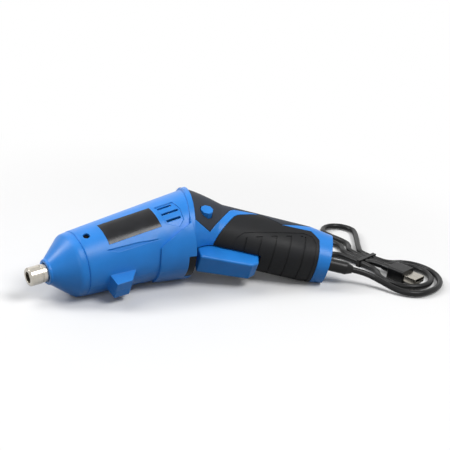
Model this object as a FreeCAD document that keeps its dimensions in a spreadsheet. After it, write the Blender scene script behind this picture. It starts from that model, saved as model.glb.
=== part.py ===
import FreeCAD, Part
import math
import os
import re
from types import SimpleNamespace

import Sketcher
from FreeCAD import Placement, Rotation, Vector

# Pistol-bend electric screwdriver, lying on its side as it rests on a table.
# Tool frame: X runs from the bit to the rear along the barrel, Z to the tool's back, Y to its right side.

doc = FreeCAD.newDocument("screwdriver")
sheet = doc.addObject("Spreadsheet::Sheet", "dims")

# Driving sizes, in millimetres and degrees
sizes = {
    "holder_radius": 6.4,
    "holder_reach": 12.5,
    "holder_groove_at": 8.2,
    "holder_groove": 0.8,
    "holder_groove_depth": 0.5,
    "holder_bevel": 0.7,
    "holder_step": 0.2,
    "hex_flats": 6.5,
    "socket_depth": 14.5,
    "mouth_radius": 3.9,
    "mouth_depth": 2.5,
    "magnet_radius": 2.9,
    "magnet_length": 3.0,
    "spindle_radius": 5.0,
    "bush_wall": 2.0,
    "bush_length": 12.0,
    "bush_setback": 3.0,
    "ring_clip_width": 1.0,
    "ring_clip_height": 2.5,
    "ring_clip_seat": 0.6,
    "running_fit": 0.05,
    "free_gap": 0.3,
    "nose_length": 22.1,
    "nose_rim_radius": 8.9,
    "nose_rim_bevel": 0.6,
    "nose_rim_length": 1.0,
    "nose_cone_angle": 40.4,
    "nose_shoulder": 5.0,
    "nose_collar_radius": 22.4,
    "nose_collar_slope": 0.1,
    "gear_module": 0.6,
    "sun_teeth": 12,
    "planet_teeth": 18,
    "planet_count": 3,
    "gear_width_two": 6.0,
    "gear_width_one": 5.0,
    "carrier_radius": 13.2,
    "carrier_two_thickness": 4.0,
    "carrier_one_thickness": 3.0,
    "carrier_pin_radius": 1.5,
    "ring_gear_radius": 20.0,
    "ring_gear_setback": 16.5,
    "motor_plate_thickness": 2.0,
    "motor_radius": 14.0,
    "motor_length": 40.0,
    "motor_boss_radius": 5.0,
    "motor_boss_length": 1.6,
    "motor_cap_length": 3.6,
    "motor_cap_radius": 13.6,
    "motor_shaft_radius": 1.15,
    "motor_screw_radius": 1.25,
    "motor_screw_spacing": 17.0,
    "motor_screw_depth": 4.0,
    "motor_screw_head": 1.2,
    "shaft_setback": 8.0,
    "barrel_front_radius": 22.6,
    "barrel_rear_radius": 29.6,
    "barrel_length": 87.7,
    "panel_step": 0.9,
    "belly_setback": 51.2,
    "belly_drop": 3.3,
    "belly_end": 7.1,
    "wall": 2.4,
    "mitre_tilt": 20.8,
    "mitre_ledge": 0.5,
    "bend_reach": 10.9,
    "bend_angle": 38.0,
    "handle_tail": 10.5,
    "handle_width": 36.0,
    "handle_depth": 40.0,
    "handle_end_width": 32.0,
    "handle_end_depth": 34.4,
    "neck_along": 14.0,
    "neck_width": 37.0,
    "neck_depth": 40.5,
    "end_ring_length": 17.0,
    "rubber_depth": 1.5,
    "rubber_gap": 0.3,
    "grip_panel_depth": 0.4,
    "rib_depth": 1.0,
    "rib_width": 1.0,
    "rib_pitch": 10.6,
    "plate_depth": 0.6,
    "plate_length": 40.0,
    "plate_height": 18.6,
    "plate_setback": 3.0,
    "panel_setback": 4.1,
    "seam_bevel": 0.5,
    "vent_setback": 22.8,
    "vent_width": 1.7,
    "vent_recess": 0.7,
    "facet_depth": 0.7,
    "foot_width": 14.0,
    "foot_drop": 31.9,
    "lens_length": 7.3,
    "lens_width": 21.0,
    "lens_depth": 3.0,
    "lens_sink": 0.4,
    "led_radius": 2.5,
    "led_length": 5.5,
    "trigger_width": 17.0,
    "trigger_draft": 11.5,
    "trigger_gap": 1.2,
    "trigger_rounding": 1.3,
    "trigger_pin_radius": 1.25,
    "trigger_pin_length": 19.0,
    "selector_length": 8.6,
    "selector_height": 7.6,
    "selector_travel": 5.0,
    "selector_proud": 2.4,
    "battery_radius": 9.2,
    "battery_length": 65.0,
    "battery_setback": 22.5,
    "battery_lift": 4.0,
    "board_thickness": 1.6,
    "board_width": 34.0,
    "board_height": 32.0,
    "boss_radius": 4.4,
    "screw_radius": 1.3,
    "screw_head_radius": 2.8,
    "screw_head_height": 2.0,
    "screw_length": 18.0,
    "screw_seat": 8.0,
    "side_screw_at": 6.4,
    "side_screw_rise": 2.5,
    "side_screw_well": 2.4,
    "side_screw_head_radius": 2.1,
    "side_screw_head_height": 1.5,
    "charge_socket_radius": 4.4,
    "charge_pin_radius": 2.75,
    "charge_socket_drop": 4.5,
    "charge_socket_floor": 1.8,
    "plug_radius": 4.75,
    "plug_length": 20.0,
    "cord_diameter": 4.4,
    "cord_height": 2.9,
    "hank_x": 152.0,
    "hank_y": -26.0,
    "hank_turn": -77.3,
    "strand_step": 5.4,
    "usb_width": 15.0,
    "usb_thickness": 9.6,
    "usb_length": 14.0,
    "usb_rounding": 1.6,
    "usb_relief_length": 8.0,
    "usb_shell_width": 12.0,
    "usb_shell_thickness": 4.5,
    "usb_shell_length": 10.6,
    "tie_width": 3.0,
    "tie_thickness": 0.55,
    "lay_roll": -65.79,
    "lay_pitch": -6.18,
}

# Stations along the barrel, counted from the bit holder's tip, and radii that follow from the sizes above
stations = {
    "seam_x": "holder_reach + nose_length",
    "bush_x": "holder_reach + bush_setback",
    "bush_bore": "spindle_radius + running_fit",
    "bush_radius": "bush_bore + bush_wall",
    "bush_end_x": "bush_x + bush_length",
    "clip_x": "bush_end_x + free_gap",
    "clip_end_x": "clip_x + ring_clip_width",
    "carrier_two_x": "clip_end_x + free_gap + ring_clip_seat",
    "planet_two_x": "carrier_two_x + carrier_two_thickness + free_gap",
    "carrier_one_x": "planet_two_x + gear_width_two + free_gap",
    "planet_one_x": "carrier_one_x + carrier_one_thickness + free_gap",
    "motor_plate_x": "planet_one_x + gear_width_one + 2 * free_gap",
    "motor_x": "motor_plate_x + motor_plate_thickness",
    "motor_cap_x": "motor_x + motor_length",
    "motor_end_x": "motor_cap_x + motor_cap_length",
    "ring_gear_x": "holder_reach + ring_gear_setback",
    "mitre_x": "seam_x + barrel_length",
    "bend_x": "mitre_x + bend_reach",
    "battery_end": "battery_setback + battery_length",
    "handle_length": "battery_end + handle_tail",
    "ring_along": "handle_length - end_ring_length",
    "hex_corner": "hex_flats / 2 / cos(30)",
}
for row, (alias, value) in enumerate(sizes.items(), 1):
    sheet.set(f"A{row}", alias)
    sheet.set(f"B{row}", str(value))
    sheet.setAlias(f"B{row}", alias)
for row, (alias, formula) in enumerate(stations.items(), 1):
    sheet.set(f"C{row}", alias)
    sheet.set(f"D{row}", "=" + formula)
    sheet.setAlias(f"D{row}", alias)
doc.recompute()
n = SimpleNamespace(**{alias: float(sheet.get(alias)) for alias in [*sizes, *stations]})
barrel_growth = (n.barrel_rear_radius - n.barrel_front_radius) / n.barrel_length

lean = math.radians(n.bend_angle)
tilt = math.radians(n.mitre_tilt)
far = 150.0

nodes = {}


def feature(label, shape):
    """A node whose shape is made by code, in the tool frame."""
    obj = doc.addObject("Part::Feature", label)
    obj.Shape = shape
    obj.Label = label
    nodes[label] = obj
    return obj


def handle_point(along, across, y=0.0):
    """A point of the handle: distance past the bend, and height towards the handle's back."""
    return Vector(
        n.bend_x + along * math.cos(lean) + across * math.sin(lean),
        y,
        -along * math.sin(lean) + across * math.cos(lean),
    )


handle_axis = Vector(math.cos(lean), 0, -math.sin(lean))
handle_back = Vector(math.sin(lean), 0, math.cos(lean))


def prism(points, low, high, inset=0.0):
    """A side-view outline, drawn in by an inset, carried across the tool from y low to y high."""
    ring = [Vector(p.x, low, p.z) for p in points]
    face = Part.Face(Part.makePolygon(ring + ring[:1]))
    if inset:
        sharp_corners = 2
        face = face.makeOffset2D(-inset, sharp_corners)
    return face.extrude(Vector(0, high - low, 0))


def side(points):
    """Side-view points of the barrel, as x and z pairs."""
    return [Vector(x, 0, z) for x, z in points]


def grip_side(points):
    """Side-view points of the handle, as along and across pairs."""
    return [handle_point(along, across) for along, across in points]


def turned(points):
    """A solid of revolution about the barrel axis from x and radius pairs."""
    ring = [Vector(x, 0, r) for x, r in points]
    face = Part.Face(Part.makePolygon(ring + ring[:1]))
    return face.revolve(Vector(0, 0, 0), Vector(1, 0, 0), 360)


def rod_x(radius, start, end, y=0.0, z=0.0):
    return Part.makeCylinder(radius, end - start, Vector(start, y, z), Vector(1, 0, 0))


def rod_y(radius, low, high, x, z):
    return Part.makeCylinder(radius, high - low, Vector(x, low, z), Vector(0, 1, 0))


def rod_h(radius, start, end, across, y=0.0):
    return Part.makeCylinder(radius, end - start, handle_point(start, across, y), handle_axis)


def block_h(start, end, low, high, half_width):
    """A block square to the handle, from along start to end and across low to high."""
    outline = grip_side([(start, low), (end, low), (end, high), (start, high)])
    return prism(outline, -half_width, half_width)


def sketch_turned(label, points):
    """A turned body: a sketch of x and radius expressions, spun about the barrel axis."""
    body = doc.addObject("PartDesign::Body", label)
    planes = [p for p in body.Origin.OriginFeatures if p.Role == "XZ_Plane"]
    sketch = body.newObject("Sketcher::SketchObject", label + "_profile")
    sketch.AttachmentSupport = (planes[0], [""])
    sketch.MapMode = "FlatFace"
    count = len(points)
    for i in range(count):
        here = Vector(i + 1, (i * i) % 7 + 1, 0)
        there = Vector((i + 1) % count + 1, (((i + 1) % count) ** 2) % 7 + 1, 0)
        sketch.addGeometry(Part.LineSegment(here, there), False)
    for i in range(count):
        sketch.addConstraint(Sketcher.Constraint("Coincident", i, 2, (i + 1) % count, 1))
    for i, (x, radius) in enumerate(points):
        for kind, expression in (("DistanceX", x), ("DistanceY", radius)):
            index = sketch.addConstraint(Sketcher.Constraint(kind, -1, 1, i, 1, 1.0))
            sketch.setExpression(f"Constraints[{index}]", d(expression))
    spin = body.newObject("PartDesign::Revolution", label + "_spin")
    spin.Profile = sketch
    spin.ReferenceAxis = (sketch, ["H_Axis"])
    spin.Angle = 360
    body.Label = label
    return body


def cylinder(label, radius, height, start, axis):
    """A bound cylinder that starts at a point and runs along an axis."""
    rod = doc.addObject("Part::Cylinder", label)
    rod.setExpression("Radius", d(radius))
    rod.setExpression("Height", d(height))
    rod.Placement = Placement(start, Rotation(Vector(0, 0, 1), axis))
    rod.Label = label
    return rod


def cut_out(label, base, tools):
    """The base with the tools taken out of it."""
    taken = tools[0]
    if len(tools) > 1:
        taken = doc.addObject("Part::MultiFuse", label + "_tools")
        taken.Shapes = tools
    result = doc.addObject("Part::Cut", label)
    result.Base = base
    result.Tool = taken
    result.Label = label
    return result


def keep(obj):
    """Hand a finished object in as a node."""
    nodes[obj.Label] = obj
    return obj


def d(expression):
    """An expression whose words are sizes of the sheet."""
    return re.sub(r"[a-z][a-z_]+", r"dims.\g<0>", expression)


along_x = Vector(1, 0, 0)
along_y = Vector(0, 1, 0)


# Outer form of the barrel and the handle


def barrel(inset, start=n.seam_x, end=n.bend_x + far):
    """The barrel's cone, inset from its raised rear surface."""
    front = n.barrel_front_radius + n.panel_step - inset + barrel_growth * (start - n.seam_x)
    rear = n.barrel_front_radius + n.panel_step - inset + barrel_growth * (end - n.seam_x)
    return turned([(start, 0), (start, front), (end, rear), (end, 0)])


belly_x, belly_end_x = n.seam_x + n.belly_setback, n.mitre_x - n.belly_end
belly_tip = math.degrees(math.atan(n.belly_drop / (belly_end_x - belly_x)))


def belly_form(inset):
    """The barrel's rear under the motor, tipped down towards the trigger."""
    cone = barrel(inset, n.seam_x, belly_end_x)
    cone.rotate(Vector(belly_x, 0, 0), along_y, belly_tip)
    return cone


def ahead_of_mitre(shift):
    """Everything ahead of the slanted joint between barrel and handle."""
    box = Part.makeBox(2 * far, 2 * far, 4 * far, Vector(-2 * far, -far, -2 * far))
    box.rotate(Vector(0, 0, 0), Vector(0, 1, 0), n.mitre_tilt)
    box.translate(Vector(n.mitre_x - shift, 0, 0))
    return box


def section(centre, slope, width, depth, power):
    """A rounded section square to a line that leans by slope."""
    points = []
    steps = 24
    for k in range(steps):
        turn = 2 * math.pi * k / steps
        c, s = math.cos(turn), math.sin(turn)
        y = width / 2 * math.copysign(abs(c) ** (2 / power), c)
        rise = depth / 2 * math.copysign(abs(s) ** (2 / power), s)
        points.append(centre + Vector(rise * math.sin(slope), y, rise * math.cos(slope)))
    curve = Part.BSplineCurve()
    curve.interpolate(Points=points, PeriodicFlag=True)
    return Part.Wire([curve.toShape()])


def handle(inset, root_shift):
    """The handle, inset from its surface: a neck from the slanted joint, a straight grip and an end ring."""
    trim = 2 * inset
    roundness, squareness = 2.0, 2.5
    rear = n.barrel_rear_radius + n.panel_step
    above = rear / (math.cos(tilt) - barrel_growth * math.sin(tilt))
    below = rear / (math.cos(tilt) + barrel_growth * math.sin(tilt))
    root_width = 2 * (rear - n.mitre_ledge)
    root_depth = above + below - 2 * n.mitre_ledge
    rise = (above - below) / 2
    root = Vector(n.mitre_x, 0, 0) + Vector(math.sin(tilt), 0, math.cos(tilt)) * rise
    root -= Vector(math.cos(tilt), 0, -math.sin(tilt)) * root_shift
    bend, neck = Vector(n.bend_x, 0, 0), handle_point(n.neck_along, 0)
    rings = []
    steps = 5
    for k in range(steps + 1):
        f = k / steps
        ease = 1 - (1 - f) ** 1.5
        side_ease = f**1.1
        centre = root * (1 - f) ** 2 + bend * (2 * f * (1 - f)) + neck * f**2
        width = root_width + (n.neck_width - root_width) * side_ease
        depth = root_depth + (n.neck_depth - root_depth) * ease
        power = roundness + (squareness - roundness) * f
        rings.append(section(centre, tilt + (lean - tilt) * f, width - trim, depth - trim, power))
    ring_start = handle_point(n.ring_along, 0)
    ring_end = handle_point(n.handle_length - inset, 0)
    grip_end = section(ring_start, lean, n.handle_width - trim, n.handle_depth - trim, squareness)
    end = section(ring_end, lean, n.handle_end_width - trim, n.handle_end_depth - trim, squareness)
    neck_solid = Part.makeLoft(rings, True, False)
    grip_solid = Part.makeLoft([rings[-1], grip_end], True, True)
    ring_solid = Part.makeLoft([grip_end, end], True, True)
    return neck_solid.fuse([grip_solid, ring_solid])


# Openings and inlays, as side-view outlines
panel_x = n.mitre_x - n.panel_setback
vent_x = panel_x - n.vent_setback
plate_x = vent_x - n.plate_setback - n.plate_length
plate_outline = side([
    (plate_x, -n.plate_height / 2),
    (plate_x + n.plate_length, -n.plate_height / 2),
    (plate_x + n.plate_length, n.plate_height / 2),
    (plate_x, n.plate_height / 2),
])
vent_outline = side([
    (vent_x, 7.5), (vent_x + 14.5, 7.5), (vent_x + 16.0, -1.0), (vent_x + 14.5, -9.5), (vent_x + 9.5, -13.0),
    (vent_x + 1.0, -8.5),
])
vent_rows = [(5.2, 1.4, 12.4), (-0.6, 1.4, 14.6), (-6.6, 2.4, 13.4)]
facet_outline = side([
    (n.seam_x + 14.2, -11.9), (n.seam_x + 37.8, -13.6), (n.seam_x + 54.0, -16.0), (n.seam_x + 22.8, -15.0),
])
front_panel = side([
    (0, far), (panel_x + math.tan(tilt) * far, far), (panel_x - math.tan(tilt) * 14.4, -14.4),
    (belly_x + 1.4, -21.3), (belly_x, -26.0), (belly_x, -far), (0, -far),
])
meet_front, meet_rear = (41.8, 12.6), (n.ring_along - 22.0, 5.5)
spine_outline = grip_side([
    (-60, -80), (-3.9, -17.8), (8.1, -17.0), (19.9, 7.3), (23.0, 9.6), meet_front, meet_rear,
    (n.ring_along, 13.5), (n.ring_along, 60), (-60, 60),
])
grip_outline = grip_side([
    (9.4, -26.0), (23.0, 1.4), (25.5, 4.4), meet_front, meet_rear, (n.ring_along, 6.5),
    (n.ring_along + 6.5, 0.0), (n.ring_along + 7.5, -12.0), (n.ring_along + 8.5, -26.0),
])
panel_outline = grip_side([
    (23.5, -26.0), (27.5, -15.0), (32.0, -10.4), (n.ring_along - 6.0, 2.2), (n.ring_along + 1.0, 1.0),
    (n.ring_along + 4.4, -4.6), (n.ring_along + 5.4, -26.0),
])
rib_front, rib_rear = (35.0, -12.8), (n.ring_along - 6.0, -0.4)
rib_outline = grip_side([
    (27.0, -26.0), (30.5, -16.1), rib_front, rib_rear, (n.ring_along, -1.6), (n.ring_along + 2.6, -6.2),
    (n.ring_along + 3.6, -26.0),
])
notch_height = 1.1
notch_outline = grip_side([
    rib_front,
    rib_rear,
    (rib_rear[0], rib_rear[1] - notch_height),
    (rib_front[0], rib_front[1] - notch_height),
])

# Trigger and its pivot, in handle coordinates
trigger_pivot = (42.5, -15.5)
trigger_face = (5.4, -34.8)
trigger_outline = grip_side([
    trigger_face, (42.5, -31.2), (46.8, -27.0), (46.2, -18.0), (46.2, -12.6), (38.5, -12.6), (34.0, -17.5),
    (14.0, -17.5), (9.0, -18.5), (2.4, -21.0), (2.9, -27.5),
])
draft = math.tan(math.radians(n.trigger_draft))
switch_along, switch_low, switch_high = 15.0, -14.0, -4.6
plunger_radius = 1.5
pivot = handle_point(*trigger_pivot)

# Direction selector, a bar pushed through from side to side
selector_at = (2.4, -6.3)
selector_half_width = 24.0


def selector_bar(clearance, low, high):
    """The selector's bar with bevelled corners, from y low to y high."""
    long = n.selector_length / 2 + clearance
    tall = n.selector_height / 2 + clearance
    half_turn = math.pi / 8
    reach = 1 / math.cos(half_turn)
    outline = []
    for k in range(8):
        turn = half_turn * (2 * k + 1)
        along = selector_at[0] + long * reach * math.cos(turn)
        outline.append((along, selector_at[1] + tall * reach * math.sin(turn)))
    return prism(grip_side(outline), low, high)


lens_x = n.mitre_x - 8.5 - n.lens_length
lens_low = -(n.barrel_rear_radius - 1.2)
foot_x = n.seam_x + 13.3
foot_outline = side([
    (foot_x, -15), (foot_x + 21.0, -15), (foot_x + 20.4, -23.7), (foot_x + 12.9, -n.foot_drop),
    (foot_x + 1.6, -n.foot_drop),
])
screw_places = [
    Vector(n.motor_x + 24.0, 0, 19.6), Vector(n.motor_x + 24.0, 0, -19.6), Vector(n.mitre_x + 4.6, 0, 13.5),
    handle_point(n.handle_length - 5.6, 10.6),
]
side_screw_x = n.seam_x + n.side_screw_at


def half_space(sign):
    """The half of the tool on its right, sign 1, or on its left, sign -1."""
    low = 0 if sign > 0 else -far
    return Part.makeBox(4 * far, far, 4 * far, Vector(-far, low, -2 * far))


def twin(solid):
    """The same piece on the tool's other side."""
    return solid.mirror(Vector(0, 0, 0), Vector(0, 1, 0))


# Outer form and hollow of the left half
overlap = 3.0
left = half_space(-1)
barrel_form = barrel(0).common(left)
barrel_outer = barrel_form.common(ahead_of_mitre(0))
handle_outer = handle(0, overlap).common(left)
belly = belly_form(0).common(left).cut(prism(front_panel, -far, far))
outer = barrel_outer.fuse([handle_outer, belly])
cavity_barrel = barrel(n.panel_step + n.wall, n.seam_x - 1).common(ahead_of_mitre(overlap))
cavity = cavity_barrel.fuse(handle(n.wall, 2 * overlap)).common(left)


def handle_skin(depth):
    """The surface layer of the handle behind the slanted joint."""
    return handle_outer.cut([handle(depth, 2 * overlap), ahead_of_mitre(0)])


def barrel_layer(depth, outline):
    """A patch of the barrel's side, depth thick, inside a side-view outline."""
    patch = barrel(n.panel_step).cut(barrel(n.panel_step + depth))
    return patch.common(prism(outline, -far, 0))


rubber = handle_skin(n.rubber_depth)
spine_seat = rubber.common(prism(spine_outline, -far, 0))
grip_seat = rubber.common(prism(grip_outline, -far, 0))

# Ribs and bosses that carry what is inside
rib_thickness = 1.8
motor_rib_x = n.motor_cap_x - 5.0
motor_rib = rod_x(far, motor_rib_x, motor_rib_x + rib_thickness)
motor_rib = motor_rib.cut(rod_x(n.motor_radius + n.running_fit, 0, far))
rear_rib = rod_x(far, n.motor_end_x, n.motor_end_x + rib_thickness)
rear_rib = rear_rib.cut(rod_x(n.motor_cap_radius - 3.5, 0, far))
inner = [motor_rib, rear_rib]
for rib_along in (n.battery_setback + 6.0, n.battery_end - 10.0):
    plate = block_h(rib_along, rib_along + rib_thickness, n.battery_lift - 6.0, far, far)
    inner.append(plate.cut(rod_h(n.battery_radius + n.running_fit, 0, far, n.battery_lift)))
inner += [rod_y(n.boss_radius, -far, 0, place.x, place.z) for place in screw_places]
foot = prism(foot_outline, -n.foot_width / 2, 0)
pivot_boss = rod_y(3.0, -far, -5.0, pivot.x, pivot.z)


def trigger_wedge(gap):
    """A bar along the handle, as wide as the trigger's pad outside and narrowing inwards."""
    half = n.trigger_width / 2 + gap
    outward, inward = -30.0, 32.0
    start, end = -20.0, 70.0
    ring = [
        handle_point(start, trigger_face[1] + rise, sign * (half - draft * rise))
        for sign, rise in ((-1, outward), (1, outward), (1, inward), (-1, inward))
    ]
    return Part.Face(Part.makePolygon(ring + ring[:1])).extrude(handle_axis * (end - start))


slot_outline = grip_side([
    (4.3, -35.8), (1.6, -28.0), (0.6, -22.5), (0.6, -11.0), (47.8, -11.0), (48.2, -30.0), (44.0, -36.0),
])
trigger_slot = prism(slot_outline, -far, 0).common(trigger_wedge(n.trigger_gap))


def lens_block(clearance, low, high):
    """The work light's window, widened by the clearance."""
    corner = Vector(lens_x - clearance, -n.lens_width / 2 - clearance, low)
    return Part.makeBox(n.lens_length + 2 * clearance, n.lens_width + 2 * clearance, high - low, corner)


cuts = [
    barrel_outer.cut(barrel(n.panel_step)).common(prism(front_panel, -far, 0)),
    barrel_layer(n.plate_depth, plate_outline),
    barrel_layer(n.facet_depth, facet_outline),
    barrel_layer(n.vent_recess, vent_outline),
    spine_seat,
    grip_seat,
    trigger_slot,
    lens_block(n.running_fit, -far, lens_low + n.lens_depth + 4.0),
    selector_bar(n.free_gap, -far, far),
    rod_h(n.charge_socket_radius + n.running_fit, n.handle_length - 8.0, far, -n.charge_socket_drop),
    rod_y(n.side_screw_well, -far, -15.0, side_screw_x, n.side_screw_rise),
]
for level, start, end in vent_rows:
    low, high = level - n.vent_width / 2, level + n.vent_width / 2
    slot = [(vent_x + start, low), (vent_x + end, low), (vent_x + end, high), (vent_x + start, high)]
    cuts.append(prism(side(slot), -far, -18.0))
front_radius = n.barrel_front_radius
cuts.append(turned([
    (n.seam_x - 1, front_radius + 5), (n.seam_x - 1, front_radius - n.seam_bevel),
    (n.seam_x, front_radius - n.seam_bevel), (n.seam_x + n.seam_bevel, front_radius),
    (n.seam_x + n.seam_bevel, front_radius + 5),
]))
shell = outer.cut(cavity).fuse([piece.common(cavity) for piece in inner])
shell = shell.cut(cuts).fuse([foot.cut(barrel(n.panel_step + n.wall / 2)), pivot_boss.common(cavity)])
shell = shell.cut(rod_y(n.trigger_pin_radius, -10.0, 0, pivot.x, pivot.z))

# Left half takes the screws' threads, right half their heads
thread_holes = [
    rod_y(n.screw_radius, n.screw_seat - n.screw_length - 1.0, 0, place.x, place.z) for place in screw_places
]
head_holes = []
for place in screw_places:
    head_holes.append(rod_y(n.screw_radius + 0.2, 0, n.screw_seat, place.x, place.z))
    head_holes.append(rod_y(n.screw_head_radius + 0.2, n.screw_seat, far, place.x, place.z))
feature("housing_left", shell.cut(thread_holes))
feature("housing_right", twin(shell).cut(head_holes))

# Soft covering: the dark spine with its V, and the ribbed grip panels
groove_skin = handle_skin(n.rib_depth)
rib_layer = groove_skin.common(prism(rib_outline, -far, 0))
notch_layer = groove_skin.common(prism(notch_outline, -far, 0))
first_rib, notch_length = 34.2, 3.2
rib_count = int((n.ring_along + 1.0 - first_rib) / n.rib_pitch) + 1
grooves = [handle_skin(n.grip_panel_depth).common(prism(panel_outline, -far, 0))]
for k in range(rib_count):
    along = first_rib + k * n.rib_pitch
    grooves.append(block_h(along, along + n.rib_width, -far, far, far).common(rib_layer))
    grooves.append(block_h(along - notch_length, along, -far, far, far).common(notch_layer))
grip = grip_seat.common(prism(grip_outline, -far, 0, n.rubber_gap))
spine = spine_seat.common(prism(spine_outline, -far, 0, n.rubber_gap))
covers = {
    "grip": grip.cut([trigger_slot] + grooves),
    "spine": spine.cut(selector_bar(2 * n.free_gap, -far, far)),
}
for name, solid in covers.items():
    feature(name + "_left", solid)
    feature(name + "_right", twin(solid).cut(head_holes))

# Plain dark name plates, flush in the barrel's sides
plate = barrel_layer(n.plate_depth, plate_outline)
feature("name_plate_left", plate)
feature("name_plate_right", twin(plate))

# Nose cone: a rim round the bit holder, the slope, a rounded shoulder and the seat of the gear ring
slope = math.tan(math.radians(n.nose_cone_angle))
rim_x = n.holder_reach + n.nose_rim_bevel
cone_x = rim_x + n.nose_rim_length
collar_front = n.nose_collar_radius - n.nose_collar_slope * (n.seam_x - cone_x)
shoulder_x = cone_x + (collar_front - n.nose_rim_radius) / (slope - n.nose_collar_slope)
shoulder_radius = n.nose_rim_radius + slope * (shoulder_x - cone_x)
nose_bore = n.holder_radius + n.free_gap
clip_space = n.spindle_radius + n.ring_clip_height + 2.0
ring_seat = n.ring_gear_radius + n.running_fit
nose = turned([
    (n.holder_reach, nose_bore),
    (n.holder_reach, n.nose_rim_radius - n.nose_rim_bevel),
    (rim_x, n.nose_rim_radius),
    (cone_x, n.nose_rim_radius),
    (shoulder_x, shoulder_radius),
    (n.seam_x - n.seam_bevel, n.nose_collar_radius),
    (n.seam_x, n.nose_collar_radius - n.seam_bevel),
    (n.seam_x, ring_seat),
    (n.ring_gear_x, ring_seat),
    (n.ring_gear_x, clip_space),
    (n.bush_end_x, clip_space),
    (n.bush_end_x, n.bush_radius),
    (n.bush_x, n.bush_radius),
    (n.bush_x, nose_bore),
])
edges = [e for e in nose.Edges if e.BoundBox.XLength < 0.01 and abs(e.BoundBox.XMin - shoulder_x) < 0.01]
feature("nose_cone", nose.makeFillet(n.nose_shoulder, edges))

# Bit holder and its spindle, with the magnet at the bottom of the socket
holder_blank = sketch_turned("holder_blank", [
    ("0", "0"),
    ("0", "holder_radius - holder_bevel"),
    ("holder_bevel", "holder_radius"),
    ("holder_groove_at", "holder_radius"),
    ("holder_groove_at", "holder_radius - holder_groove_depth"),
    ("holder_groove_at + holder_groove", "holder_radius - holder_groove_depth"),
    ("holder_groove_at + holder_groove", "holder_radius - holder_step"),
    ("bush_x - free_gap", "holder_radius - holder_step"),
    ("bush_x - free_gap", "spindle_radius"),
    ("clip_x", "spindle_radius"),
    ("clip_x", "spindle_radius - ring_clip_seat"),
    ("clip_end_x", "spindle_radius - ring_clip_seat"),
    ("clip_end_x", "spindle_radius"),
    ("carrier_two_x", "spindle_radius"),
    ("carrier_two_x", "0"),
])
socket_mouth = cylinder("socket_mouth", "mouth_radius", "mouth_depth + 1", Vector(-1, 0, 0), along_x)
seat_start = Vector(n.socket_depth - 1, 0, 0)
magnet_seat = cylinder("magnet_seat", "magnet_radius", "magnet_length + 1", seat_start, along_x)
socket_hex = doc.addObject("Part::Prism", "socket_hex")
socket_hex.Polygon = 6
socket_hex.setExpression("Circumradius", d("hex_corner"))
socket_hex.setExpression("Height", d("socket_depth"))
socket_hex.Placement = Placement(Vector(0, 0, 0), Rotation(Vector(0, 0, 1), along_x))
keep(cut_out("bit_holder", holder_blank, [socket_mouth, magnet_seat, socket_hex]))
keep(cylinder("bit_magnet", "magnet_radius", "magnet_length", Vector(n.socket_depth, 0, 0), along_x))
keep(sketch_turned("spindle_bush", [
    ("bush_x", "bush_bore"),
    ("bush_x", "bush_radius"),
    ("bush_end_x", "bush_radius"),
    ("bush_end_x", "bush_bore"),
]))
keep(sketch_turned("retaining_ring", [
    ("clip_x", "spindle_radius - ring_clip_seat"),
    ("clip_x", "spindle_radius - ring_clip_seat + ring_clip_height"),
    ("clip_end_x", "spindle_radius - ring_clip_seat + ring_clip_height"),
    ("clip_end_x", "spindle_radius - ring_clip_seat"),
]))

# Two planetary stages inside one toothed ring
ring_teeth = n.sun_teeth + 2 * n.planet_teeth
orbit = n.gear_module * (n.sun_teeth + n.planet_teeth) / 2
addendum, dedendum = 0.8 * n.gear_module, 1.2 * n.gear_module
planet_turns = [90.0 + 360.0 * k / n.planet_count for k in range(int(n.planet_count))]


def toothed(teeth, start, end, turn, outward=1):
    """A toothed bar along the barrel axis with a tooth at the turn; outward -1 for the ring's teeth."""
    pitch_radius = n.gear_module * teeth / 2
    root, tip = pitch_radius - outward * dedendum, pitch_radius + outward * addendum
    points = []
    for k in range(int(teeth)):
        for share, radius in ((-0.30, root), (-0.12, tip), (0.12, tip), (0.30, root)):
            angle = math.radians(turn + 360.0 * (k + share) / teeth)
            points.append(Vector(start, radius * math.cos(angle), radius * math.sin(angle)))
    return Part.Face(Part.makePolygon(points + points[:1])).extrude(Vector(end - start, 0, 0))


def orbit_point(turn):
    """A planet's centre, across and up from the barrel axis."""
    return orbit * math.cos(math.radians(turn)), orbit * math.sin(math.radians(turn))


def carrier(start, thickness, gear_width):
    """A disc with a pin for each planet behind it."""
    disc = rod_x(n.carrier_radius, start, start + thickness)
    pin_end = start + thickness + n.free_gap + gear_width
    pins = [rod_x(n.carrier_pin_radius, start, pin_end, *orbit_point(turn)) for turn in planet_turns]
    return disc.fuse(pins)


def planets(stage, start, width):
    """A stage's planet gears, each on its own pin."""
    half_tooth = 180.0 / n.planet_teeth
    for letter, turn in zip("abc", planet_turns):
        wheel = toothed(n.planet_teeth, start, start + width, turn + half_tooth)
        wheel = wheel.cut(rod_x(n.carrier_pin_radius + n.running_fit, start - 1, start + width + 1))
        wheel.translate(Vector(0, *orbit_point(turn)))
        feature(f"planet_{stage}_{letter}", wheel)


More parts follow.
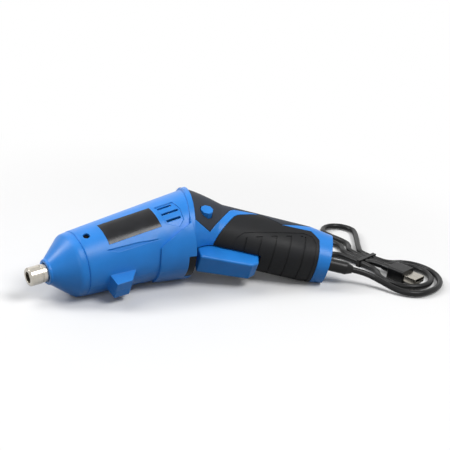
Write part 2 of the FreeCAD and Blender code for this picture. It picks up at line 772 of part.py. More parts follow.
feature("carrier_two", carrier(n.carrier_two_x, n.carrier_two_thickness, n.gear_width_two))
planets("two", n.planet_two_x, n.gear_width_two)
sun_two = toothed(n.sun_teeth, n.planet_two_x, n.carrier_one_x, planet_turns[0])
feature("carrier_one", carrier(n.carrier_one_x, n.carrier_one_thickness, n.gear_width_one).fuse(sun_two))
planets("one", n.planet_one_x, n.gear_width_one)
shaft_bore = rod_x(n.motor_shaft_radius, 0, far)
pinion = toothed(n.sun_teeth, n.planet_one_x, n.motor_plate_x - n.free_gap, planet_turns[0])
feature("motor_pinion", pinion.cut(shaft_bore))
side_screw_seat = n.ring_gear_radius + 0.02
side_screw_end = n.ring_gear_radius - 3.5
side_holes = [
    rod_y(n.motor_screw_radius, low, low + far, side_screw_x, n.side_screw_rise)
    for low in (side_screw_end, -side_screw_end - far)
]
gear_space = toothed(ring_teeth, n.ring_gear_x, n.motor_plate_x, planet_turns[0], -1)
feature("ring_gear", rod_x(n.ring_gear_radius, n.ring_gear_x, n.motor_plate_x).cut([gear_space] + side_holes))

# Motor behind its mounting plate
motor_screw_places = (-n.motor_screw_spacing / 2, n.motor_screw_spacing / 2)


def screw_shank(label, y):
    """The hole of one motor screw, through the plate and into the can."""
    start = Vector(n.motor_plate_x, y, 0)
    length = "motor_plate_thickness + motor_screw_depth"
    return cylinder(label, "motor_screw_radius", length, start, along_x)


can = sketch_turned("can_blank", [
    ("motor_x - motor_boss_length", "motor_shaft_radius + running_fit"),
    ("motor_x - motor_boss_length", "motor_boss_radius"),
    ("motor_x", "motor_boss_radius"),
    ("motor_x", "motor_radius"),
    ("motor_cap_x", "motor_radius"),
    ("motor_cap_x", "0"),
    ("motor_cap_x - shaft_setback", "0"),
    ("motor_cap_x - shaft_setback", "motor_shaft_radius + running_fit"),
])
keep(cut_out("motor_can", can, [screw_shank(f"can_hole_{k}", y) for k, y in enumerate(motor_screw_places)]))
keep(cylinder("motor_end_cap", "motor_cap_radius", "motor_cap_length", Vector(n.motor_cap_x, 0, 0), along_x))
shaft_length = "motor_cap_x - shaft_setback - planet_one_x - 1"
keep(cylinder("motor_shaft", "motor_shaft_radius", shaft_length, Vector(n.planet_one_x, 0, 0), along_x))
sink = n.motor_screw_radius + 1.0
head_end = n.motor_plate_x + n.motor_screw_head
screws = []
for y in motor_screw_places:
    head_start = Vector(n.motor_plate_x, y, 0)
    head = Part.makeCone(sink, n.motor_screw_radius, n.motor_screw_head, head_start, along_x)
    screws.append(head.fuse(rod_x(n.motor_screw_radius, head_end, n.motor_x + n.motor_screw_depth, y)))
feature("motor_screws", Part.makeCompound(screws))
plate_holes = screws + [rod_x(n.motor_boss_radius, 0, far)]
feature("motor_plate", rod_x(n.ring_gear_radius, n.motor_plate_x, n.motor_x).cut(plate_holes))

# Fasteners: gear ring to housing from both sides, and the two housing halves together
screws = []
for sign in (-1, 1):
    seat = Vector(side_screw_x, sign * side_screw_seat, n.side_screw_rise)
    head = Part.makeCylinder(n.side_screw_head_radius, n.side_screw_head_height, seat, along_y * sign)
    reach = side_screw_seat - side_screw_end
    foot_point = Vector(side_screw_x, sign * side_screw_end, n.side_screw_rise)
    screws.append(head.fuse(Part.makeCylinder(n.motor_screw_radius, reach, foot_point, along_y * sign)))
feature("gearbox_screws", Part.makeCompound(screws))
screws = []
for place in screw_places:
    shank = rod_y(n.screw_radius, n.screw_seat - n.screw_length, n.screw_seat, place.x, place.z)
    head = rod_y(n.screw_head_radius, n.screw_seat, n.screw_seat + n.screw_head_height, place.x, place.z)
    screws.append(shank.fuse(head))
feature("housing_screws", Part.makeCompound(screws))

# Trigger on its pin, with the switch that it presses
pad = prism(trigger_outline, -far, far).common(trigger_wedge(0))
rim_height = -26.0 - trigger_pivot[1]
pad_rim = [e for e in pad.Edges if all((v.Point - pivot).dot(handle_back) < rim_height for v in e.Vertexes)]
pad = pad.makeFillet(n.trigger_rounding, pad_rim)
feature("trigger", pad.cut(rod_y(n.trigger_pin_radius + n.running_fit, -far, far, pivot.x, pivot.z)))
pin_start = Vector(pivot.x, -n.trigger_pin_length / 2, pivot.z)
keep(cylinder("trigger_pin", "trigger_pin_radius", "trigger_pin_length", pin_start, along_y))
plunger_low = -17.2
plunger_length = 7.7
switch_body = block_h(9.0, 21.5, switch_low, switch_high, 5.0)
plunger_hole = Part.makeCylinder(
    plunger_radius + n.running_fit, 8.0, handle_point(switch_along, switch_low), handle_back
)
feature("trigger_switch", switch_body.cut(plunger_hole))
plunger_start = handle_point(switch_along, plunger_low)
feature("switch_plunger", Part.makeCylinder(plunger_radius, plunger_length, plunger_start, handle_back))

# Direction selector and the switch that it works
selector_end = selector_half_width + n.selector_proud
feature("direction_selector", selector_bar(0, -selector_end, selector_end - n.selector_travel))
selector_top = selector_at[1] + n.selector_height / 2 + n.free_gap
feature("reverse_switch", block_h(-1.5, 6.3, selector_top, selector_top + 6.0, 6.0))

# Work light, boards and battery
lens_form = belly_form(n.lens_sink).common(lens_block(0, -far, lens_low + n.lens_depth))
feature("work_light_lens", lens_form)
led_start = Vector(lens_x + n.lens_length / 2, 0, lens_low + n.lens_depth)
keep(cylinder("work_light_led", "led_radius", "led_length", led_start, Vector(0, 0, 1)))
board = doc.addObject("Part::Box", "control_board")
board.setExpression("Length", d("board_thickness"))
board.setExpression("Width", d("board_width"))
board.setExpression("Height", d("board_height"))
board_corner = Vector(n.motor_end_x + rib_thickness, -n.board_width / 2, 1.0 - n.board_height / 2)
board.Placement = Placement(board_corner, Rotation())
keep(board)
cell_start = handle_point(n.battery_setback, n.battery_lift)
keep(cylinder("battery_cell", "battery_radius", "battery_length", cell_start, handle_axis))
contact = 0.3
contacts = [
    rod_h(n.battery_radius - 2.0, start, start + contact, n.battery_lift)
    for start in (n.battery_setback - contact, n.battery_end)
]
feature("battery_contacts", Part.makeCompound(contacts))
board_start = n.battery_end + contact
board_end = board_start + n.board_thickness
feature("charge_board", block_h(board_start, board_end, -13.0, 5.0, 10.0))
socket_end = n.handle_length
socket = rod_h(n.charge_socket_radius, board_end, socket_end, -n.charge_socket_drop)
plug_start = board_end + n.charge_socket_floor
plug_hole = rod_h(n.charge_pin_radius + n.running_fit, plug_start - n.free_gap, far, -n.charge_socket_drop)
feature("charge_socket", socket.cut(plug_hole))


# The tool lies on its right side, with the frame's origin on the floor under the middle of its box
doc.recompute()
lay = Placement(Vector(0, 0, 0), Rotation(along_y, n.lay_pitch).multiply(Rotation(along_x, n.lay_roll)))
box = FreeCAD.BoundBox()
for obj in nodes.values():
    for point in obj.Shape.tessellate(0.1)[0]:
        box.add(lay.multVec(point))
lay.Base = Vector(-box.Center.x, -box.Center.y, -box.ZMin)

# Plug of the charging lead, in its socket at the handle's end
relief_length = 5.0
plug_end = socket_end + n.plug_length
feature("dc_plug_barrel", rod_h(n.charge_pin_radius, plug_start, socket_end, -n.charge_socket_drop))
plug_body = rod_h(n.plug_radius, socket_end, plug_end - relief_length, -n.charge_socket_drop)
relief_start = handle_point(plug_end - relief_length, -n.charge_socket_drop)
relief = Part.makeCone(n.plug_radius, n.cord_diameter / 2 + 0.6, relief_length, relief_start, handle_axis)
feature("dc_plug_body", plug_body.fuse(relief))
for obj in nodes.values():
    obj.Placement = lay.multiply(obj.Placement)

# Charging lead tied in a hank: its own axes run along the hank and across it, on the floor
hank = Placement(Vector(n.hank_x, n.hank_y, 0), Rotation(Vector(0, 0, 1), n.hank_turn))
up = Vector(0, 0, 1)
cord_radius = n.cord_diameter / 2
waist = 6.0
strands = [1.5 * n.strand_step, 0.5 * n.strand_step, -1.5 * n.strand_step, -0.5 * n.strand_step]
pen = SimpleNamespace(point=Vector(0, 0, 0), heading=Vector(0, 0, 0), edges=[])


def run(length):
    """Draw straight on."""
    end = pen.point + pen.heading * length
    pen.edges.append(Part.LineSegment(pen.point, end).toShape())
    pen.point = end


def bend(radius, turn, towards):
    """Draw an arc of some degrees towards a direction square to the heading."""
    def at(angle):
        ahead = pen.heading * (radius * math.sin(angle))
        return pen.point + ahead + towards * (radius * (1 - math.cos(angle)))

    angle = math.radians(turn)
    end = at(angle)
    pen.edges.append(Part.Arc(pen.point, at(angle / 2), end).toShape())
    pen.point = end
    pen.heading = pen.heading * math.cos(angle) + towards * math.sin(angle)


def left_side(sign):
    """The direction to the left of the heading, or to its right for sign -1."""
    return up.cross(pen.heading) * sign


def sway(shift, length, towards=None):
    """Draw two equal arcs that move the line over by a shift, along a length."""
    side_way = towards or left_side(math.copysign(1, shift))
    radius = (length**2 + shift**2) / (4 * abs(shift))
    turn = math.degrees(2 * math.atan(abs(shift) / length))
    start = pen.heading
    bend(radius, turn, side_way)
    bend(radius, turn, start * math.sin(math.radians(turn)) - side_way * math.cos(math.radians(turn)))


# Right-hand loops lie one in the other, so their bends share centres
flare_turn = 60.0
flare_in, flare_out = 19.0, 15.0
flare_reach = (flare_in + flare_out) * math.sin(math.radians(flare_turn))
flare_shift = (flare_in + flare_out) * (1 - math.cos(math.radians(flare_turn)))
outer_loop = 28.0
outer_side = strands[0] + flare_shift
inner_side = strands[1] + flare_shift
inner_loop = 19.9
loop_x = waist + flare_reach
pen.point = Vector(loop_x + outer_loop, outer_side - outer_loop, n.cord_height)
pen.heading = Vector(0, 1, 0)
hank_start = pen.point
bend(outer_loop, 90, left_side(1))
bend(flare_out + n.strand_step, flare_turn, left_side(1))
bend(flare_in - n.strand_step, flare_turn, left_side(-1))
run(2 * waist)

# Far loop, near loop, far loop, and out to the plug
far_lean, far_run, far_loop, far_back, far_lag = 50.0, 33.0, 13.4, 25.0, 5.0
bend(far_loop, far_lean, left_side(-1))
run(far_run)
bend(far_loop, 180 + far_lean, left_side(1))
run(-waist - far_lag - far_back - pen.point.x)
sway(strands[1] - pen.point.y, far_back)
run(far_lag + 2 * waist)
bend(flare_in, flare_turn, left_side(1))
bend(flare_out, flare_turn, left_side(-1))
bend(inner_loop, 180, left_side(-1))
sway(inner_side - 2 * inner_loop - strands[2], flare_reach)
small_loop, small_length, small_side, small_lag = 13.3, 22.5, -20.0, 7.0
run(2 * waist + small_lag)
sway(strands[2] - small_side, small_length)
bend(small_loop, 180, left_side(-1))
sway(strands[3] - small_side - 2 * small_loop, small_length)
run(small_lag + waist + 1.0)
usb_low = 0.1
usb_height = usb_low + n.usb_thickness / 2
sway(usb_height - n.cord_height, 10.0, up)
run(n.cord_diameter + 2.2)
usb_start = pen.point
hank_wire = Part.Wire(pen.edges)


def tube(wire, start, heading):
    """A round tube along a wire."""
    ring = Part.Wire([Part.makeCircle(cord_radius, start, heading)])
    return wire.makePipeShell([ring], True, False)


feature("charge_hank", tube(hank_wire, hank_start, along_y))
hank_points = hank_wire.discretize(Distance=1.0)
skip = int(4 * n.cord_diameter)
least = min(
    here.distanceToPoint(there)
    for i, here in enumerate(hank_points)
    for there in hank_points[i + skip:]
)
print("least gap of the hank to itself", round(least - n.cord_diameter, 2))


def block(x, length, y, width, z, height):
    """A block that starts at x and z, and lies evenly about y."""
    return Part.makeBox(length, width, height, Vector(x, y - width / 2, z))


# Tie round the strands
floor_gap = 0.05
strand_gap = 0.1
band_inside = 3 * n.strand_step + n.cord_diameter + 2 * strand_gap
band_outside = band_inside + 2 * n.tie_thickness
band_low = floor_gap + n.tie_thickness
band_high = n.cord_height + cord_radius + strand_gap
loop_hole = block(-n.tie_width, 2 * n.tie_width, 0, band_inside, band_low, band_high - band_low)
band_top = band_high + n.tie_thickness
loop_form = block(-n.tie_width / 2, n.tie_width, 0, band_outside, floor_gap, band_top - floor_gap)
feature("cord_tie", loop_form.cut(loop_hole))

# Flat plug at the lead's end: a relief round the cord, the case and the metal shell with its tongue
usb_relief_start, usb_relief_end = cord_radius + 0.5, cord_radius + 1.2
relief = Part.makeCone(usb_relief_start, usb_relief_end, n.usb_relief_length, usb_start, along_x)
usb_x = usb_start.x + n.usb_relief_length
usb_y = usb_start.y
case = block(usb_x, n.usb_length, usb_y, n.usb_width, usb_low, n.usb_thickness)
corners = [e for e in case.Edges if e.BoundBox.XLength > n.usb_length / 2]
corners += [e for e in case.Edges if e.BoundBox.ZLength > n.usb_thickness / 2 and e.BoundBox.XMax < usb_x + 1]
feature("usb_plug_body", case.makeFillet(n.usb_rounding, corners).fuse(relief))
shell_x = usb_x + n.usb_length
shell_low = usb_height - n.usb_shell_thickness / 2
skin_thickness = 0.4
tongue_top = 2.0
tongue_back = 1.0
skin_form = block(shell_x, n.usb_shell_length, usb_y, n.usb_shell_width, shell_low, n.usb_shell_thickness)
skin_hole = block(
    shell_x + tongue_back,
    n.usb_shell_length,
    usb_y,
    n.usb_shell_width - 2 * skin_thickness,
    shell_low + tongue_top,
    n.usb_shell_thickness - tongue_top - skin_thickness,
)
feature("usb_plug_shell", skin_form.cut(skin_hole))
for label in ("charge_hank", "cord_tie", "usb_plug_body", "usb_plug_shell"):
    nodes[label].Placement = hank.multiply(nodes[label].Placement)

# Free stretch of the lead, from the tool's plug round to the hank
lead_start = lay.multVec(handle_point(plug_end, -n.charge_socket_drop))
lead_way = lay.Rotation.multVec(handle_axis)
lead_end = hank.multVec(hank_start)
end_way = hank.Rotation.multVec(along_y)
route = [
    lead_start,
    lead_start + lead_way * 10.0,
    Vector(130.0, -66.5, 6.4),
    Vector(134.5, -79.5, 3.6),
    Vector(142.9, -88.3, n.cord_height),
    lead_end - end_way * 9.5,
    lead_end,
]


def route_wire(points):
    """Straight runs joined by arcs as large as the runs allow."""
    edges = []
    start = points[0]
    for before, corner, after in zip(points, points[1:], points[2:]):
        way_in = (corner - before).normalize()
        way_out = (after - corner).normalize()
        turn = way_in.getAngle(way_out)
        reach = 0.45 * min(corner.distanceToPoint(before), corner.distanceToPoint(after))
        radius = reach / math.tan(turn / 2)
        inward = (way_out - way_in).normalize()
        middle = corner + inward * (radius / math.cos(turn / 2) - radius)
        arc_start, arc_end = corner - way_in * reach, corner + way_out * reach
        edges.append(Part.LineSegment(start, arc_start).toShape())
        edges.append(Part.Arc(arc_start, middle, arc_end).toShape())
        start = arc_end
        print("lead bend radius", round(radius, 1), "turn", round(math.degrees(turn), 1))
    edges.append(Part.LineSegment(start, points[-1]).toShape())
    return Part.Wire(edges)


lead_wire = route_wire(route)
feature("charge_lead", tube(lead_wire, lead_start, lead_way))
print("route", [[round(v / 1000, 4) for v in p] for p in route])
print("cord length", round(lead_wire.Length + hank_wire.Length, 1))

# Check every object, then write the nodes
doc.recompute()
for obj in doc.Objects:
    if {"Invalid", "Error"} & set(obj.State):
        raise RuntimeError(f"{obj.Label} failed: {obj.State}")
os.makedirs("parts", exist_ok=True)
for label, obj in nodes.items():
    if obj.Shape.isNull() or not obj.Shape.isValid():
        raise RuntimeError(f"{label} has no valid shape")
    obj.Shape.exportStep(f"parts/{label}.step")
print(len(nodes), "nodes written")
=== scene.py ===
import bpy
import cmath
import math
from mathutils import Matrix, Vector


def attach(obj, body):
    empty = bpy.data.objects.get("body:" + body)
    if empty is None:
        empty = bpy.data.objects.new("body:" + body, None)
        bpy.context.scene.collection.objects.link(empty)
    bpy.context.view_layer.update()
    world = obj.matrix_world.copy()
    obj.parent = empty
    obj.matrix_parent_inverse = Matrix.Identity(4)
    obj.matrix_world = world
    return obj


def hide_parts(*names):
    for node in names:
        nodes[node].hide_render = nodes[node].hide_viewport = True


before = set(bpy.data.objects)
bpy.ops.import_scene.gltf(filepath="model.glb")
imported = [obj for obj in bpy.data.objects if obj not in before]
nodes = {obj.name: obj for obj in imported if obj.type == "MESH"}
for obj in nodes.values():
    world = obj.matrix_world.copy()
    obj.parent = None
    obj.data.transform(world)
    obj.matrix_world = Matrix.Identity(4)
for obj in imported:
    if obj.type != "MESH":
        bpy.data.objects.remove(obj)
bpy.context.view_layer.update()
base = "tool"
print("frame loaded")

# Camera at the photograph's view: its place, what is right and up in the picture, and its lens
shot = {
    "place": Vector((-0.38315, -0.55453, 0.31520)),
    "right": Vector((0.81722, -0.56968, 0.08728)),
    "up": Vector((0.14467, 0.34936, 0.92575)),
    "lensMm": 83.44,
    "sensorMm": 36.0,
    "nearest": 0.01,
}
cameraData = bpy.data.cameras.new("camera")
cameraData.sensor_width = shot["sensorMm"]
cameraData.lens = shot["lensMm"]
cameraData.clip_start = shot["nearest"]
camera = bpy.data.objects.new("camera", cameraData)
turn = Matrix((shot["right"], shot["up"], shot["right"].cross(shot["up"]))).transposed()
camera.matrix_world = Matrix.Translation(shot["place"]) @ turn.to_4x4()
bpy.context.scene.collection.objects.link(camera)
bpy.context.scene.camera = camera
bpy.context.scene.view_settings.view_transform = "Standard"


def hexColor(text):
    channels = [int(text[i:i + 2], 16) / 255 for i in (1, 3, 5)]
    linear = [c / 12.92 if c <= 0.04045 else ((c + 0.055) / 1.055) ** 2.4 for c in channels]
    return (*linear, 1.0)


# Charging lead: the free stretch from the tool's plug, then the loops of the tied hank
cord = {
    "diameter": 0.0044,
    "height": 0.0029,
    "length": 0.5915,
    "free": [
        (0.1148, -0.0505, 0.0118),
        (0.1229, -0.0561, 0.0102),
        (0.1300, -0.0665, 0.0064),
        (0.1345, -0.0795, 0.0036),
        (0.1429, -0.0883, 0.0029),
        (0.1539, -0.0906, 0.0029),
    ],
    "hankPlace": complex(0.152, -0.026),
    "hankTurn": cmath.rect(1, math.radians(-77.3)),
    "step": 0.0054,
    "waist": 0.006,
    "plugHeight": 0.0049,
    "pieces": ["dc_plug_body", "dc_plug_barrel", "usb_plug_body", "usb_plug_shell", "cord_tie"],
}


# A pen on the floor that keeps a corner of the cord's spline for each part of a bend
class Pen:
    def __init__(self, point, heading):
        self.point = point
        self.heading = heading
        self.corners = []

    def run(self, length):
        self.point += self.heading * length

    def bend(self, radius, degrees):
        mostPerCorner = 30
        count = max(1, math.ceil(abs(degrees) / mostPerCorner))
        part = math.radians(degrees / count)
        reach = radius * math.tan(abs(part) / 2)
        for k in range(count):
            self.run(reach)
            self.corners.append(self.point)
            self.heading *= cmath.rect(1, part)
            self.run(reach)

    def sway(self, shift, length):
        radius = (length**2 + shift**2) / (4 * abs(shift))
        degrees = math.degrees(2 * math.atan(shift / length))
        self.bend(radius, degrees)
        self.bend(radius, -degrees)


def hankCorners():
    step, waist = cord["step"], cord["waist"]
    strands = [1.5 * step, 0.5 * step, -1.5 * step, -0.5 * step]
    flare, flareIn, flareOut = 60, 0.019, 0.015
    reach = (flareIn + flareOut) * math.sin(math.radians(flare))
    shift = (flareIn + flareOut) * (1 - math.cos(math.radians(flare)))
    outerLoop, innerLoop = 0.028, 0.0199
    pen = Pen(complex(waist + reach + outerLoop, strands[0] + shift - outerLoop), 1j)
    pen.bend(outerLoop, 90)
    pen.bend(flareOut + step, flare)
    pen.bend(flareIn - step, -flare)
    pen.run(2 * waist)
    farLean, farRun, farLoop, farBack, farLag = 50, 0.033, 0.0134, 0.025, 0.005
    pen.bend(farLoop, -farLean)
    pen.run(farRun)
    pen.bend(farLoop, 180 + farLean)
    pen.run(-waist - farLag - farBack - pen.point.real)
    pen.sway(strands[1] - pen.point.imag, farBack)
    pen.run(farLag + 2 * waist)
    pen.bend(flareIn, flare)
    pen.bend(flareOut, -flare)
    pen.bend(innerLoop, -180)
    pen.sway(strands[1] + shift - 2 * innerLoop - strands[2], reach)
    smallLoop, smallLength, smallSide, smallLag = 0.0133, 0.0225, -0.020, 0.007
    pen.run(2 * waist + smallLag)
    pen.sway(strands[2] - smallSide, smallLength)
    pen.bend(smallLoop, -180)
    pen.sway(strands[3] - smallSide - 2 * smallLoop, smallLength)
    corners = [(c, cord["height"]) for c in pen.corners]
    climbStart, climb, plugRun = 0.0035, 0.005, 0.0091
    pen.run(smallLag + waist + climbStart)
    corners.append((pen.point, cord["height"]))
    pen.run(climb)
    corners.append((pen.point, cord["plugHeight"]))
    pen.run(plugRun)
    corners.append((pen.point, cord["plugHeight"]))
    placed = [(cord["hankPlace"] + cord["hankTurn"] * c, z) for c, z in corners]
    return [(c.real, c.imag, z) for c, z in placed]


def cordPiece(name, points, radius):
    curve = bpy.data.curves.new(name, "CURVE")
    curve.dimensions = "3D"
    spline = curve.splines.new("NURBS")
    spline.points.add(len(points) - 1)
    for place, point in zip(spline.points, points):
        place.co = (*point, 1.0)
        place.radius = radius
    spline.order_u = 3
    spline.use_endpoint_u = True
    spline.resolution_u = 6
    curve.bevel_depth = 1.0  # the points' own radius sets the thickness, so the curve's box is the cord's own
    curve.bevel_resolution = 5
    curve.use_fill_caps = True
    piece = bpy.data.objects.new(name, curve)
    bpy.context.scene.collection.objects.link(piece)
    return piece


lead = cordPiece("lead", cord["free"] + hankCorners(), cord["diameter"] / 2)
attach(lead, base)
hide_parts("charge_lead", "charge_hank")
print("cord made")

# Plain floor and soft studio light
floorMesh = bpy.data.meshes.new("floor")
reachOut = 6.0
floorCorners = [(x * reachOut, y * reachOut, 0) for x, y in ((-1, -1), (1, -1), (1, 1), (-1, 1))]
floorMesh.from_pydata(floorCorners, [], [(0, 1, 2, 3)])
floor = bpy.data.objects.new("floor", floorMesh)
bpy.context.scene.collection.objects.link(floor)


def softbox(name, look, aim):
    data = bpy.data.lights.new(name, "AREA")
    data.shape = "DISK"
    data.size = look["size"]
    data.energy = look["power"]
    light = bpy.data.objects.new(name, data)
    light.location = look["place"]
    light.rotation_euler = (Vector(aim) - Vector(look["place"])).to_track_quat("-Z", "Y").to_euler()
    bpy.context.scene.collection.objects.link(light)


# A wide light above, softboxes at the nose's side, the back and the front, and a weak fill at the front left
studio = {
    "lights": {
        "top": {"place": (-0.45, 0.62, 1.55), "size": 1.2, "power": 11.5},
        "nose": {"place": (-1.17, 0.86, 1.06), "size": 0.45, "power": 11.0},
        "back": {"place": (0.5, 1.7, 0.8), "size": 1.6, "power": 3.0},
        "front": {"place": (0.3, -0.66, 1.06), "size": 0.6, "power": 10.5},
        "fill": {"place": (-1.2, -1.2, 0.9), "size": 1.2, "power": 6.0},
    },
    "aim": (0.0, 0.0, 0.03),
    "skyLevel": 0.16,
    "floorSeen": "#e4e4e4",
    "floorBounce": "#6a6a6a",
    "clearFrom": 0.16,
    "clearTo": 0.36,
}
for name, look in studio["lights"].items():
    softbox(name + "Light", look, studio["aim"])


def addNode(tree, kind, values=None, links=None, **settings):
    node = tree.nodes.new("ShaderNode" + kind)
    for key, value in settings.items():
        setattr(node, key, value)
    for key, value in (values or {}).items():
        node.inputs[key].default_value = value
    for key, source in (links or {}).items():
        tree.links.new(source, node.inputs[key])
    return node


def seenDirectly(tree):
    path = addNode(tree, "LightPath").outputs
    seen = path["Is Camera Ray"]
    for kind in ("Is Glossy Ray", "Is Transmission Ray"):
        both = addNode(tree, "Math", links={0: seen, 1: path[kind]}, operation="ADD", use_clamp=True)
        seen = both.outputs["Value"]
    return seen


world = bpy.data.worlds.new("studio")
world.use_nodes = True
bpy.context.scene.world = world
sky = world.node_tree
backdrop = sky.nodes["Background"]
backdrop.inputs["Color"].default_value = hexColor("#ffffff")
skyRange = {"To Min": studio["skyLevel"], "To Max": 1.0}
level = addNode(sky, "MapRange", skyRange, {"Value": seenDirectly(sky)}).outputs["Result"]
sky.links.new(level, backdrop.inputs["Strength"])
print("stage set")


# Materials, on Object coordinates, which are metres in the part's frame
def perMetre(millimetres):
    return 1000.0 / millimetres


barrelPitch = math.radians(-6.18)  # lean of the barrel's axis out of the floor
colorSpan = (0.35, 0.65)  # part of the mottle over which the colour goes from deep to bright
roughSpan = (0.3, 0.7)  # part of the mottle over which the roughness goes from low to high


def finishMaterial(name, look):
    material = bpy.data.materials.new(name)
    material.use_nodes = True
    tree = material.node_tree
    shader = tree.nodes["Principled BSDF"]
    place = addNode(tree, "TexCoord").outputs["Object"]
    turned = addNode(
        tree, "Mapping", {"Rotation": (0, barrelPitch, 0), "Scale": look.get("stretch", (1, 1, 1))},
        {"Vector": place}, vector_type="TEXTURE",
    ).outputs["Vector"]
    mottle = addNode(
        tree, "TexNoise", {"Scale": perMetre(look["mottleMm"]), "Detail": 4.0}, {"Vector": turned}
    ).outputs["Fac"]
    grain = addNode(
        tree, "TexNoise", {"Scale": perMetre(look["grainMm"]), "Detail": 3.0}, {"Vector": turned}
    ).outputs["Fac"]
    ramp = addNode(tree, "ValToRGB", links={"Fac": mottle})
    for end, position, shade in zip(ramp.color_ramp.elements, colorSpan, (look["deep"], look["bright"])):
        end.position = position
        end.color = hexColor(shade)
    roughRange = dict(zip(("From Min", "From Max", "To Min", "To Max"), (*roughSpan, *look["rough"])))
    rough = addNode(tree, "MapRange", roughRange, {"Value": mottle}).outputs["Result"]
    rounded = addNode(tree, "Bevel", {"Radius": look["edgeMm"] / 1000}, samples=6).outputs["Normal"]
    relief = addNode(
        tree, "Bump", {"Strength": look["relief"], "Distance": look["grainMm"] / 4000},
        {"Height": grain, "Normal": rounded},
    ).outputs["Normal"]
    tree.links.new(ramp.outputs["Color"], shader.inputs["Base Color"])
    tree.links.new(rough, shader.inputs["Roughness"])
    tree.links.new(relief, shader.inputs["Normal"])
    shader.inputs["Metallic"].default_value = look.get("metal", 0.0)
    shader.inputs["IOR"].default_value = look.get("ior", 1.5)
    shader.inputs["Specular IOR Level"].default_value = look.get("gloss", 0.5)
    return material


finishes = {
    # ABS moulded in a spark-eroded tool: even bright blue with a fine grain and a soft sheen
    "mouldedBlueAbs": {
        "deep": "#2079cc", "bright": "#2480d6", "mottleMm": 18, "grainMm": 0.45, "relief": 0.12,
        "rough": (0.32, 0.4), "edgeMm": 0.7, "ior": 1.54, "gloss": 0.28,
    },
    # Thermoplastic rubber moulded over the neck: charcoal, smooth and nearly matt
    "softSpineRubber": {
        "deep": "#2a2e36", "bright": "#31363f", "mottleMm": 14, "grainMm": 0.4, "relief": 0.2,
        "rough": (0.52, 0.66), "edgeMm": 0.5, "ior": 1.5, "gloss": 0.18,
    },
    # The same rubber with a sand-blasted grain on the grip: darker, because the grain scatters little light
    "sandedGripRubber": {
        "deep": "#0a0b0d", "bright": "#101114", "mottleMm": 12, "grainMm": 0.5, "relief": 0.3,
        "rough": (0.48, 0.6), "edgeMm": 0.4, "ior": 1.5, "gloss": 0.2,
    },
    # Gloss black acrylic plate: a dark mirror with faint waviness
    "glossPlateAcrylic": {
        "deep": "#0f1013", "bright": "#15161a", "mottleMm": 10, "grainMm": 1.5, "relief": 0.03,
        "rough": (0.18, 0.26), "edgeMm": 0.3, "ior": 1.49, "gloss": 0.3,
    },
    # Turned steel with nickel plate: warm grey mirror with fine rings round the axis
    "turnedNickel": {
        "deep": "#b0aba1", "bright": "#bab5ab", "mottleMm": 0.9, "grainMm": 0.3, "relief": 0.05,
        "rough": (0.2, 0.28), "edgeMm": 0.3, "metal": 1.0, "stretch": (1, 30, 30),
    },
    # Oiled steel of the gears, screws and shafts: mid grey with machining marks
    "oiledSteel": {
        "deep": "#4c4c4e", "bright": "#626264", "mottleMm": 4, "grainMm": 0.4, "relief": 0.15,
        "rough": (0.3, 0.45), "edgeMm": 0.2, "metal": 1.0,
    },
    # Blackened steel of the outer screws: nearly black, dull
    "blackenedSteel": {
        "deep": "#141416", "bright": "#1d1d20", "mottleMm": 3, "grainMm": 0.4, "relief": 0.15,
        "rough": (0.42, 0.56), "edgeMm": 0.2, "metal": 1.0,
    },
    # Sintered bronze of the bush and the contact springs: matt gold brown
    "sinteredBronze": {
        "deep": "#a98547", "bright": "#c7a25d", "mottleMm": 3, "grainMm": 0.3, "relief": 0.2,
        "rough": (0.32, 0.46), "edgeMm": 0.2, "metal": 1.0,
    },
    # Acetal gears: milky white, waxy
    "mouldedAcetal": {
        "deep": "#dcd9cf", "bright": "#e8e5dc", "mottleMm": 6, "grainMm": 0.4, "relief": 0.1,
        "rough": (0.38, 0.5), "edgeMm": 0.2, "ior": 1.48,
    },
    # Black nylon of switches, socket and caps: dull, slightly mottled
    "mouldedBlackNylon": {
        "deep": "#151517", "bright": "#1d1d20", "mottleMm": 5, "grainMm": 0.4, "relief": 0.2,
        "rough": (0.4, 0.55), "edgeMm": 0.3, "ior": 1.53,
    },
    # Smoked polycarbonate window: nearly black and polished
    "smokedPolycarbonate": {
        "deep": "#060607", "bright": "#0b0b0d", "mottleMm": 8, "grainMm": 2, "relief": 0.02,
        "rough": (0.2, 0.28), "edgeMm": 0.3, "ior": 1.58, "gloss": 0.12,
    },
    # Printed circuit laminate under green solder mask: satin green
    "greenLaminate": {
        "deep": "#1c5b33", "bright": "#24703f", "mottleMm": 3, "grainMm": 0.4, "relief": 0.12,
        "rough": (0.32, 0.48), "edgeMm": 0.15, "ior": 1.55,
    },
    # Extruded soft vinyl of the lead and its plugs: black with a satin gloss
    "extrudedVinyl": {
        "deep": "#050506", "bright": "#0b0b0c", "mottleMm": 7, "grainMm": 0.6, "relief": 0.1,
        "rough": (0.28, 0.38), "edgeMm": 0.4, "ior": 1.53, "gloss": 0.22,
    },
}
materials = {name: finishMaterial(name, look) for name, look in finishes.items()}
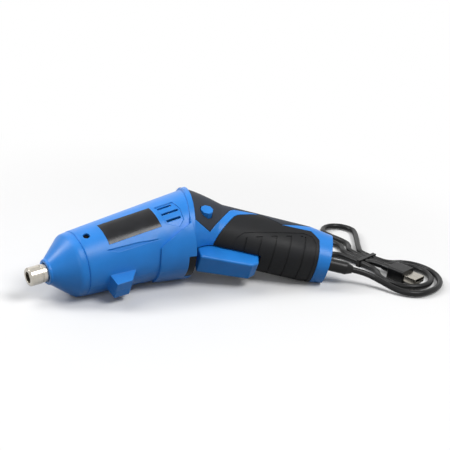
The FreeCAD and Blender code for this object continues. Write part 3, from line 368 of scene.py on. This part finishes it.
wearers = {
    "mouldedBlueAbs": ["housing_left", "housing_right", "nose_cone", "trigger", "direction_selector"],
    "softSpineRubber": ["spine_left", "spine_right"],
    "sandedGripRubber": ["grip_left", "grip_right"],
    "glossPlateAcrylic": ["name_plate_left", "name_plate_right"],
    "turnedNickel": ["bit_holder", "retaining_ring", "usb_plug_shell", "dc_plug_barrel", "motor_can"],
    "blackenedSteel": ["housing_screws", "gearbox_screws"],
    "sinteredBronze": ["spindle_bush", "battery_contacts"],
    "mouldedAcetal": ["ring_gear", "planet_one_a", "planet_one_b", "planet_one_c", "work_light_led"],
    "mouldedBlackNylon": [
        "motor_end_cap", "trigger_switch", "switch_plunger", "reverse_switch",
        "charge_socket", "battery_cell",
    ],
    "smokedPolycarbonate": ["work_light_lens"],
    "greenLaminate": ["control_board", "charge_board"],
    "extrudedVinyl": ["dc_plug_body", "usb_plug_body", "cord_tie"],
}
finishOf = {node: name for name, wearing in wearers.items() for node in wearing}
for name, node in nodes.items():
    for place in node.material_slots:
        place.material = materials[finishOf.get(name, "oiledSteel")]
lead.data.materials.append(materials["extrudedVinyl"])


# Matt white paper, which returns less light to the object than the eye sees of it.
# It keeps the object's shadow, and away from the object it clears to the white of an evenly lit sweep.
def floorPaper():
    material = bpy.data.materials.new("floorPaper")
    material.use_nodes = True
    tree = material.node_tree
    shader = tree.nodes["Principled BSDF"]
    seen = seenDirectly(tree)
    ramp = addNode(tree, "ValToRGB", links={"Fac": seen})
    ramp.color_ramp.elements[0].color = hexColor(studio["floorBounce"])
    ramp.color_ramp.elements[1].color = hexColor(studio["floorSeen"])
    tree.links.new(ramp.outputs["Color"], shader.inputs["Base Color"])
    shader.inputs["Roughness"].default_value = 0.7
    shader.inputs["Specular IOR Level"].default_value = 0.1
    place = addNode(tree, "TexCoord").outputs["Object"]
    apart = addNode(tree, "VectorMath", links={0: place}, operation="LENGTH").outputs["Value"]
    clear = addNode(
        tree, "MapRange", {"From Min": studio["clearFrom"], "From Max": studio["clearTo"]}, {"Value": apart},
        interpolation_type="SMOOTHSTEP",
    ).outputs["Result"]
    share = addNode(tree, "Math", links={0: clear, 1: seen}, operation="MULTIPLY").outputs["Value"]
    white = addNode(tree, "Emission", {"Color": hexColor("#ffffff"), "Strength": 1.0}).outputs["Emission"]
    mixed = addNode(tree, "MixShader", links={0: share, 1: shader.outputs["BSDF"], 2: white})
    tree.links.new(mixed.outputs["Shader"], tree.nodes["Material Output"].inputs["Surface"])
    return material


floorMesh.materials.append(floorPaper())
print("materials made")
